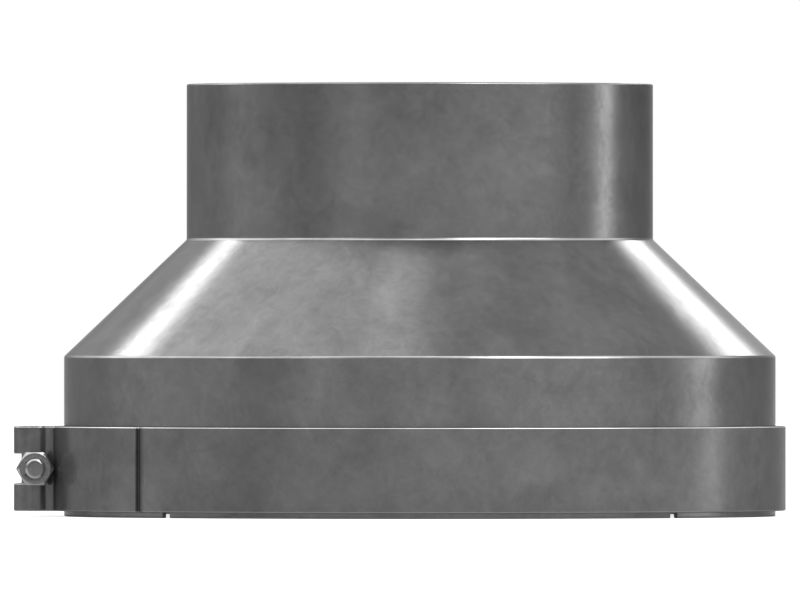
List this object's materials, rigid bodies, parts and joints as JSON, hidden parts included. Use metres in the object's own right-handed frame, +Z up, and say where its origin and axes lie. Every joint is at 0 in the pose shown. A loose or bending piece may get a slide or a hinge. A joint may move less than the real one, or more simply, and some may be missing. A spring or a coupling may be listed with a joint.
{
  "type": "conical pipe adapter with band clamp",
  "caption": "Sheet steel cone that joins a wide round flue or vent pipe to a narrower one; its slotted collar is tightened by a T-bolt band clamp.",
  "frame": {"origin": "on the adapter's axis, in the plane of the collar's lower rim", "axes": "+Z up along the axis towards the narrow neck, -X towards the clamp's bolt, -Y towards the nut"},
  "size_m": [0.2316, 0.2198, 0.1297],
  "materials": {
    "sheet": "mill-finish rolled steel sheet, satin, faintly clouded",
    "strap": "the same steel strip, satin, edges rounded",
    "seal": "matt black heat-proof rubber",
    "pins": "turned steel, satin",
    "fasteners": "machined steel, smooth"
  },
  "bodies": {
    "root": {"adapter_body": "sheet", "clamp_strap": "strap", "seal_strip": "seal", "front_trunnion": "pins", "rear_trunnion": "pins", "nut_sleeve": "fasteners", "head_sleeve": "fasteners", "clamp_nut": "fasteners", "clamp_bolt": "fasteners"}
  },
  "joints": []
}
